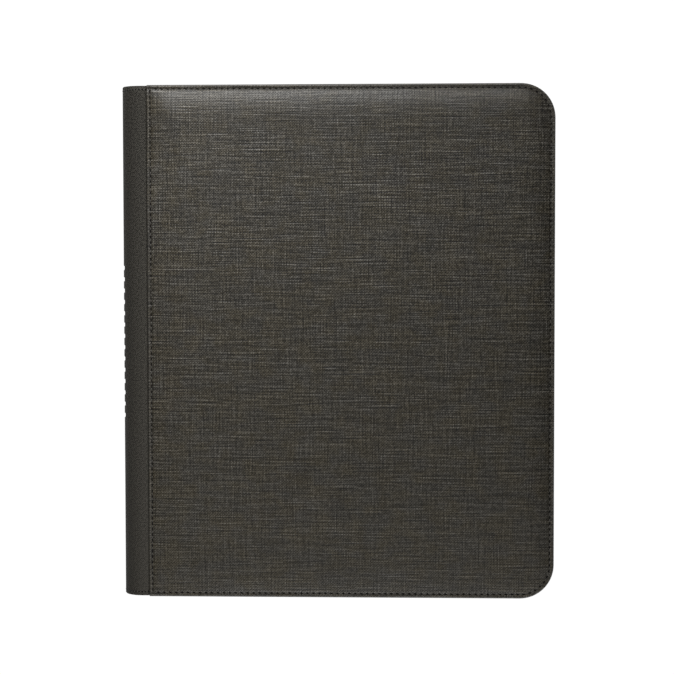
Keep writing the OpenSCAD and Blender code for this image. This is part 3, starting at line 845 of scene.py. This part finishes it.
class BINDER_OT_spine(bpy.types.Operator):
    """Rounded spine strip in two halves"""
    bl_idname = "binder.spine"
    bl_label = "Spine strip"

    def execute(self, context):
        upper = spine_wrap(1)
        lower = spine_wrap(-1)
        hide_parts("spine_skin", "front_spine_flap", "spine_foam")
        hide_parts("back_spine_flap")
        for side in (1, -1):
            spine_hem_stitches(side)
        return {"FINISHED"}


# Inside

def lining_cloth(side, body):
    """Woven lining of one cover, cut to the cover's outline"""
    r = sizes().binder_cover.corner_r - (FORE_X - LINING[1].x)
    cx, cy = LINING[1].x - r, LINING[1].y - r
    low = LINING[0].z - MID_Z
    rim = [r * k / 5 for k in range(1, 6)]
    xs = even(LINING[0].x, cx, 12 * MM) + [cx + a for a in rim]
    ys = [-cy - a for a in reversed(rim)] + even(-cy, cy, 12 * MM) + [cy + a for a in rim]

    def place(x, y):
        x, y, _ = bend_corner(x, y, cx, cy, r)
        return Vector((x, y, MID_Z + side * (low + 0.02 * MM + 0.05 * MM * noise.noise(Vector((x * 30, y * 30, 0))))))

    bm = grid_sheet(xs, ys, place)
    area = sum(f.calc_area() for f in bm.faces)
    if side > 0:
        bmesh.ops.reverse_faces(bm, faces=bm.faces)
    where = SIDES[side]
    piece = add_piece(bm, where + "_lining_cloth", [lining_weave()], body)
    thicken(piece, 0.5 * MM, -1)
    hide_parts(where + "_lining")


def gutter_cloth(side):
    """Lining inside the rounded corner, from the spine to one cover"""
    r = sizes().binder_spine.radius
    inner = r - 1.2 * MM
    arc_z = STRIP_TOP - r
    start = math.acos((SPINE_LINING[1].x - SPINE_X - r) / inner)
    points = []
    for k in range(11):
        a = start + (math.pi / 2 - start) * k / 10
        points.append((r + inner * math.cos(a), arc_z + inner * math.sin(a)))
    end_x, end_z = LINING[0].x + 1.5 * MM - SPINE_X, LINING[0].z - MID_Z - 0.12 * MM
    points += [(r + (end_x - r) * k / 4, arc_z + inner + (end_z - arc_z - inner) * k / 4) for k in range(1, 5)]
    ys = even(-STRIP_HALF + 3 * MM, STRIP_HALF - 3 * MM, 8 * MM)
    bm = grid_sheet(range(len(points)), ys, lambda i, y: Vector(
        (SPINE_X + points[i][0], y, MID_Z + side * points[i][1])))
    face_way(bm, max(bm.faces, key=lambda f: f.calc_center_median().x), (0, 0, -side))
    length = run_lengths(points)[-1]
    piece = add_piece(bm, "gutter_cloth_" + SIDES[side], [lining_weave()])
    bend(piece, side)


def spine_cloth():
    """Woven lining of the spine's board"""
    low, high = SPINE_LINING
    bm = grid_sheet(even(low.z, high.z, 3 * MM), even(low.y, high.y, 8 * MM),
                    lambda z, y: Vector((high.x - 0.02 * MM, y, z)))
    face_way(bm, next(iter(bm.faces)), (1, 0, 0))
    piece = add_piece(bm, "spine_lining_cloth", [lining_weave()], "spine")
    thicken(piece, 0.45 * MM, -1)
    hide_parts("spine_lining")


def pocket_films(name):
    """Clear films over the pockets of one page, slightly slack in each pocket"""
    low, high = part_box(name)
    margin, border, weld, mouth = 22 * MM, 4 * MM, 2 * MM, 3 * MM
    col_pitch = (high.x - low.x - margin - border) / 3
    row_pitch = (high.y - low.y - 2 * border) / 3
    whole = bmesh.new()
    for face in (-1, 1):
        z0 = high.z if face > 0 else low.z
        for col in range(3):
            x0 = low.x + margin + col * col_pitch + mouth
            x1 = low.x + margin + (col + 1) * col_pitch - weld
            for row in range(3):
                y0 = low.y + border + row * row_pitch + weld / 2
                y1 = y0 + row_pitch - weld

                def place(u, v):
                    slack = math.sin(math.pi * v) * math.sin(math.pi * (0.15 + 0.85 * u))
                    return Vector((x0 + u * (x1 - x0), y0 + v * (y1 - y0), z0 + face * (0.01 + 0.05 * slack) * MM))
                patch = grid_sheet([k / 6 for k in range(7)], [k / 8 for k in range(9)], place)
                if face < 0:
                    bmesh.ops.reverse_faces(patch, faces=patch.faces)
                spare = bpy.data.meshes.new("patch")
                patch.to_mesh(spare)
                patch.free()
                whole.from_mesh(spare)
                bpy.data.meshes.remove(spare)
    piece = add_piece(whole, "pocket_film_" + name[5:], [clear_film()], name)


class BINDER_OT_inside(bpy.types.Operator):
    """Linings, gutters, binding and pocket pages"""
    bl_idname = "binder.inside"
    bl_label = "Linings and pages"

    def execute(self, context):
        for side, body in ((1, "front_cover"), (-1, "back_cover")):
            lining_cloth(side, body)
            gutter_cloth(side)
        spine_cloth()
        sheet = moulded("page sheet", (0.034, 0.034, 0.035), 0.55, 900.0, 0.08)
        for name in PAGES:
            paint(name, sheet)
            pocket_films(name)
        paint("page_binding", moulded("binding strip", (0.018, 0.018, 0.018), 0.5))
        for name in ("front_board", "back_board", "spine_board"):
            paint(name, pressed_board())
        return {"FINISHED"}


# Zip

def zip_wall(side, body, foot_x):
    """Tape wall of one cover, bowed a little inward between its edge under the teeth and its top"""
    z = sizes().binder_zip
    low = TAPE[1].z if side < 0 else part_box("front_zip_tape")[0].z
    edge = abs(low - MID_Z)
    top = LINING[0].z - MID_Z + 0.7 * MM
    points, total = outline(z.wall_in, 3.0 * MM, TAPE[0].x, foot_x)
    rows = [edge + up * MM for up in (0, 0.4, 1.2, 2.0, 2.6, 4, 7, 10)] + [top - 1 * MM, top]

    def place(i, level):
        at, _, out = points[i]
        bow = 0.35 * MM * math.sin(math.pi * (level - edge) / (top - edge))
        spot = at + out * -bow
        return Vector((spot.x, spot.y, MID_Z + side * level))

    step = total / (len(points) - 1)
    bm = grid_sheet(range(len(points)), rows, place, uv=lambda i, level: (i * step, level))
    bmesh.ops.recalc_face_normals(bm, faces=bm.faces)
    where = SIDES[side]
    piece = add_piece(bm, where + "_zip_wall", [tape_weave()], body)
    thicken(piece, z.tape_t)
    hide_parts(where + "_zip_tape")


def zip_tail():
    """Joined stub of the upper tape with its own teeth, which stays shut when the binder is open"""
    z = sizes().binder_zip
    r = sizes().binder_cover.corner_r
    y = -HALF_H + z.wall_in
    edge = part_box("front_zip_tape")[0].z
    bm = grid_sheet(even(TAIL[0].x, TAIL[1].x, 2 * MM), even(edge, TAIL[1].z, 1.2 * MM),
                    lambda x, level: Vector((x, y, level)), uv=lambda x, level: (x, level))
    tape = add_piece(bm, "zip_tail_tape", [tape_weave()], "back_cover")
    thicken(tape, z.tape_t)
    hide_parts("zip_tail")
    # The teeth keep the step of the rows, counted from the head of the zip
    start = TAPE[0].x + z.tape_lead
    whole = 2 * (FORE_X - r - start) + math.pi * (r - z.wall_in) + 2 * (HALF_H - r)
    bm = bmesh.new()
    for i in range(int(whole / z.tooth_pitch)):
        x = start + whole - (i + 1) * z.tooth_pitch
        if start + z.tooth_pitch * 1.6 < x < TAIL[1].x - z.tooth_pitch / 2:
            size = Matrix.Diagonal((z.tooth_pitch / 2, 2 * (y - TAIL[0].y), TOOTH_H, 1))
            centre = Matrix.Translation((x, y, TAIL[0].z + TOOTH_H / 2))
            bmesh.ops.create_cube(bm, size=1.0, matrix=centre @ size)
    bmesh.ops.bevel(bm, geom=bm.edges, offset=0.3 * MM, affect="EDGES", segments=2, profile=0.5, material=-1)
    teeth = add_piece(bm, "zip_tail_teeth", [teeth_plastic()], "back_cover")


def end_tab():
    """Tab folded round the end of both tapes and sewn through"""
    low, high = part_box("zip_end_tab")
    half_t = 0.55 * MM
    r = (high.y - low.y) / 2 - half_t
    mid_y = (low.y + high.y) / 2
    bend_x = low.x + half_t + r
    turns = [math.pi / 2 * (1 + k / 4) for k in range(9)]
    points = [(x, mid_y + r) for x in even(high.x, bend_x, 2 * MM)[:-1]]
    points += [(bend_x + r * math.cos(a), mid_y + r * math.sin(a)) for a in turns]
    points += [(x, mid_y - r) for x in even(bend_x, high.x, 2 * MM)[1:]]
    lengths = run_lengths(points)
    bm = grid_sheet(range(len(points)), even(low.z, high.z, 2 * MM),
                    lambda i, level: Vector((*points[i], level)), uv=lambda i, level: (lengths[i], level))
    tab = add_piece(bm, "zip_end_fold", [strip_leather()], "back_cover")
    thicken(tab, 2 * half_t)
    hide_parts("zip_end_tab")
    bm = bmesh.new()
    for face in (-1, 1):
        y = mid_y + face * (r + half_t)
        spots = [(Vector((high.x - 1.6 * MM, y, level)), Vector((0, 0, 1)), Vector((1, 0, 0)), Vector((0, face, 0)))
                 for level in even(low.z + 1.5 * MM, high.z - 1.5 * MM, 1.2 * MM)]
        sew(bm, spots, TAB_STITCH)
    seam = add_stitches(bm, "zip_end_stitches", "back_cover")


def tab_ridges():
    """Grip bars across both faces of the pull tab"""
    low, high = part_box("pull_tab")
    mid_y = (low.y + high.y) / 2
    bm = bmesh.new()
    for k in range(5):
        x = high.x - (4 + 2.4 * k) * MM
        for face in (-1, 1):
            y = mid_y + face * 0.8 * MM
            size = Matrix.Diagonal((*GRIP_BAR, 1))
            bmesh.ops.create_uvsphere(bm, u_segments=8, v_segments=8, radius=1.0,
                                      matrix=Matrix.Translation((x, y, (low.z + high.z) / 2)) @ size)
    piece = add_piece(bm, "pull_tab_ridges", [pull_rubber()], "puller")


class BINDER_OT_zip(bpy.types.Operator):
    """Tape walls, teeth, stops, slider and pull"""
    bl_idname = "binder.zip"
    bl_label = "Zip"

    def execute(self, context):
        zip_wall(1, "front_cover", TAIL[1].x + 1 * MM)
        zip_wall(-1, "back_cover", TAPE[0].x)
        for node in ("front_zip_teeth", "back_zip_teeth"):
            paint(node, teeth_plastic())
        for node in ("front_zip_stop", "back_zip_stop"):
            paint(node, slider_metal())
        paint("slider_body", slider_metal(), 0.2 * MM)
        paint("pull_link", slider_metal(), 0.15 * MM)
        paint("pull_tab", pull_rubber(), 0.4 * MM)
        zip_tail()
        end_tab()
        tab_ridges()
        return {"FINISHED"}


# Stage

def add_light(name, place, target, size, power, spread=180):
    """A soft rectangular lamp aimed at a place"""
    data = bpy.data.lights.new(name, "AREA")
    data.shape = "RECTANGLE"
    data.size, data.size_y = size
    data.energy = power
    data.spread = math.radians(spread)
    lamp = bpy.data.objects.new(name, data)
    lamp.location = place
    lamp.rotation_euler = (Vector(target) - Vector(place)).to_track_quat("-Z", "Y").to_euler()
    bpy.context.scene.collection.objects.link(lamp)


class BINDER_OT_stage(bpy.types.Operator):
    """Pale floor, soft studio light and camera"""
    bl_idname = "binder.stage"
    bl_label = "Stage"

    def execute(self, context):
        scene = context.scene
        scene.view_settings.view_transform = "Standard"
        # Keeps the weave of the cloth, which is near the size of a pixel
        scene.cycles.denoising_prefilter = "NONE"
        bm = bmesh.new()
        bmesh.ops.create_grid(bm, x_segments=2, y_segments=2, size=30.0)
        bmesh.ops.translate(bm, verts=bm.verts, vec=(0, 0, -0.3 * MM))
        floor = add_piece(bm, "floor", [self.floor_finish()])
        world = bpy.data.worlds.new("studio")
        world.use_nodes = True
        backdrop = world.node_tree.nodes["Background"].inputs
        backdrop["Color"].default_value = (1.0, 1.0, 1.0, 1)
        backdrop["Strength"].default_value = 0.08
        scene.world = world
        add_light("key", (-0.22, 0.74, 0.60), (-0.44, 0.06, 0.04), (0.50, 0.35), 4.5, 110)
        add_light("fill", (0.00, -0.80, 0.50), (0.0, -0.10, 0.04), (0.60, 0.30), 3.3)
        data = bpy.data.cameras.new("camera")
        data.sensor_width = SENSOR_MM
        data.lens = FOCAL_PX / PHOTO_PX * SENSOR_MM
        data.clip_end = 100
        camera = bpy.data.objects.new("camera", data)
        camera.location = (0.04771, 0.05516, 1.20247)
        camera.rotation_euler = (math.radians(-2.553), math.radians(2.324), math.radians(-0.078))
        scene.collection.objects.link(camera)
        scene.camera = camera
        return {"FINISHED"}

    @staticmethod
    def floor_finish():
        """Pale ground that the camera sees as nearly white"""
        mat = bpy.data.materials.new("pale floor")
        mat.use_nodes = True
        tree = mat.node_tree
        n = Nodes(tree)
        shader = tree.nodes["Principled BSDF"]
        cloud = n.clouds(object_place(n), 3.0)
        tree.links.new(n.mix(cloud, (0.86, 0.86, 0.86, 1), (0.9, 0.9, 0.9, 1)), shader.inputs["Base Color"])
        shader.inputs["Roughness"].default_value = 0.9
        path = tree.nodes.new("ShaderNodeLightPath")
        seen = n.math("MAXIMUM", path.outputs["Is Camera Ray"], path.outputs["Is Glossy Ray"])
        seen = n.math("MAXIMUM", seen, path.outputs["Is Transmission Ray"])
        glow = n.add("ShaderNodeEmission", {"Strength": 1.04})
        lit = n.add("ShaderNodeMixShader", {0: n.times(seen, 0.97), 1: shader.outputs[0], 2: glow})
        tree.links.new(lit, tree.nodes["Material Output"].inputs["Surface"])
        return mat


class BINDER_PT_panel(bpy.types.Panel):
    """Sizes and finishes of the binder, and a button for each group of pieces"""
    bl_label = "Card binder"
    bl_idname = "BINDER_PT_panel"
    bl_space_type = "VIEW_3D"
    bl_region_type = "UI"
    bl_category = "Binder"

    def draw(self, context):
        for group in ("binder_cover", "binder_spine", "binder_zip", "binder_finish"):
            box = self.layout.box()
            owner = getattr(context.scene, group)
            for key in owner.__annotations__:
                box.prop(owner, key)
        for name in PIECES:
            self.layout.operator("binder." + name)


PIECES = ("covers", "spine", "inside", "zip", "stage")
GROUPS = {"binder_cover": CoverSizes, "binder_spine": SpineSizes, "binder_zip": ZipSizes, "binder_finish": Finishes}
CLASSES = (CoverSizes, SpineSizes, ZipSizes, Finishes, BINDER_OT_covers, BINDER_OT_spine, BINDER_OT_inside,
           BINDER_OT_zip, BINDER_OT_stage, BINDER_PT_panel)


def register():
    for item in CLASSES:
        bpy.utils.register_class(item)
    for name, group in GROUPS.items():
        setattr(bpy.types.Scene, name, PointerProperty(type=group))


def unregister():
    for name in GROUPS:
        delattr(bpy.types.Scene, name)
    for item in reversed(CLASSES):
        bpy.utils.unregister_class(item)


def main():
    register()
    for name in PIECES:
        getattr(bpy.ops.binder, name)()


if __name__ == "__main__":
    main()
